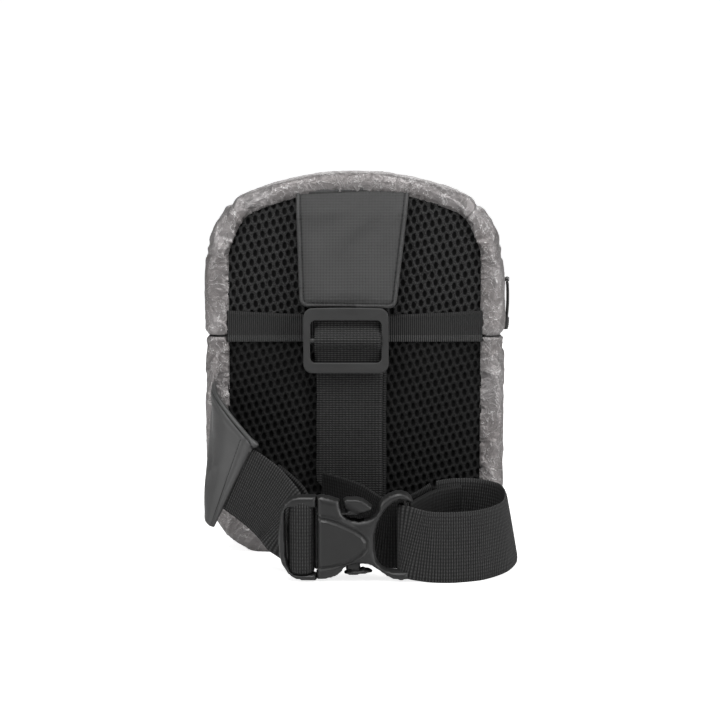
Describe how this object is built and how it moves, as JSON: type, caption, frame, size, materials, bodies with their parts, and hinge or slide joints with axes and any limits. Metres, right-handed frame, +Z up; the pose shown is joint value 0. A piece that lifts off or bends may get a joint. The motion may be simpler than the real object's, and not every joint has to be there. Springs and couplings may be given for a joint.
{
  "type": "sling bag",
  "caption": "Small padded sling bag with an arched main zip, a zipped front pocket, a mesh back, and a webbing strap with a sliding adjuster and a side-release buckle.",
  "frame": {"origin": "middle of the flat base that the bag stands on", "axes": "+Z up the bag, +Y out of the front panel, -Y out of the mesh back towards the wearer, +X across the width"},
  "size_m": [0.1781, 0.1262, 0.2197],
  "materials": {
    "shell": "metallic silver-grey crinkled nylon, padded",
    "mesh": "black spacer mesh with staggered holes",
    "grosgrain": "black ribbed grosgrain",
    "foam": "soft foam backing",
    "zip_tape": "black woven zip tape",
    "zip_coil": "black nylon coil",
    "zip_metal": "black lacquered slider",
    "puller": "black cord with a moulded grip",
    "lining": "dark grey plain lining",
    "tab": "charcoal coated fabric with a fine diamond weave",
    "webbing": "black ribbed webbing",
    "wing": "dark grey smooth coated fabric",
    "plastic": "satin black moulded acetal"
  },
  "bodies": {
    "bag": {"back_mesh_upper": "mesh", "back_mesh_lower": "mesh", "back_band": "grosgrain", "back_band_binding": "grosgrain", "back_foam": "foam", "back_border": "shell", "gusset_lower": "shell", "gusset_upper_rear": "shell", "front_panel_lower": "shell", "main_zip_tape_rear": "zip_tape", "main_zip_teeth_rear": "zip_coil", "main_zip_stops": "zip_coil", "pocket_zip_tape": "zip_tape", "pocket_zip_teeth": "zip_coil", "pocket_zip_stops": "zip_coil", "pocket_pouch": "lining", "lining_body": "lining", "seam_binding_rear": "grosgrain", "seam_binding_front": "grosgrain", "top_tab": "tab", "strap_back": "webbing", "strap_return": "webbing", "strap_lower": "webbing", "wing_panel": "wing", "wing_binding": "wing", "wing_strap": "webbing", "wing_strap_wrap": "webbing", "wing_strap_tail": "webbing", "buckle_male": "plastic"},
    "flap": {"gusset_upper_front": "shell", "front_panel_upper": "shell", "main_zip_tape_front": "zip_tape", "main_zip_teeth_front": "zip_coil", "lining_flap": "lining"},
    "main_slider": {"main_zip_slider": "zip_metal"},
    "main_puller": {"main_zip_puller": "puller"},
    "pocket_slider": {"pocket_zip_slider": "zip_metal"},
    "pocket_puller": {"pocket_zip_puller": "puller"},
    "glide": {"strap_glide_wrap": "webbing", "tri_glide": "plastic"},
    "arm_top": {"buckle_arm_top": "plastic"},
    "arm_bottom": {"buckle_arm_bottom": "plastic"},
    "buckle_socket": {"buckle_female": "plastic", "strap_loop": "webbing", "strap_tail": "webbing"}
  },
  "joints": [
    {"name": "flap_open", "type": "hinge", "parent": "bag", "child": "flap", "pos_m": [0, 0.024, 0.1272], "axis": [-1, 0, 0], "range_deg": [0, 55]},
    {"name": "main_slider_travel", "type": "slide", "parent": "bag", "child": "main_slider", "axis": [0, 0, 1], "range_m": [-0.023, 0.012]},
    {"name": "main_puller_swing", "type": "hinge", "parent": "main_slider", "child": "main_puller", "pos_m": [0.08995, 0.012, 0.157], "axis": [0, -1, 0], "range_deg": [0, 150]},
    {"name": "pocket_slider_travel", "type": "slide", "parent": "bag", "child": "pocket_slider", "axis": [1, 0, 0], "range_m": [-0.09, 0]},
    {"name": "pocket_puller_swing", "type": "hinge", "parent": "pocket_slider", "child": "pocket_puller", "pos_m": [0.045, 0.02795, 0.1], "axis": [1, 0, 0], "range_deg": [0, 150]},
    {"name": "glide_travel", "type": "slide", "parent": "bag", "child": "glide", "axis": [0, 0, 1], "range_m": [-0.05, 0]},
    {"name": "buckle_release", "type": "slide", "parent": "bag", "child": "buckle_socket", "axis": [1, 0, 0], "range_m": [0, 0.045]},
    {"name": "arm_top_press", "type": "hinge", "parent": "bag", "child": "arm_top", "pos_m": [-0.0201, -0.0895, 0.0364], "axis": [0, 1, 0], "range_deg": [0, 8], "stiffness_Nm_per_rad": 0.3},
    {"name": "arm_bottom_press", "type": "hinge", "parent": "bag", "child": "arm_bottom", "pos_m": [-0.0201, -0.0895, 0.0164], "axis": [0, 1, 0], "range_deg": [-8, 0], "stiffness_Nm_per_rad": 0.3}
  ],
  "couplings": [
    {"joint": "arm_bottom_press", "follows": "arm_top_press", "ratio": -1}
  ]
}
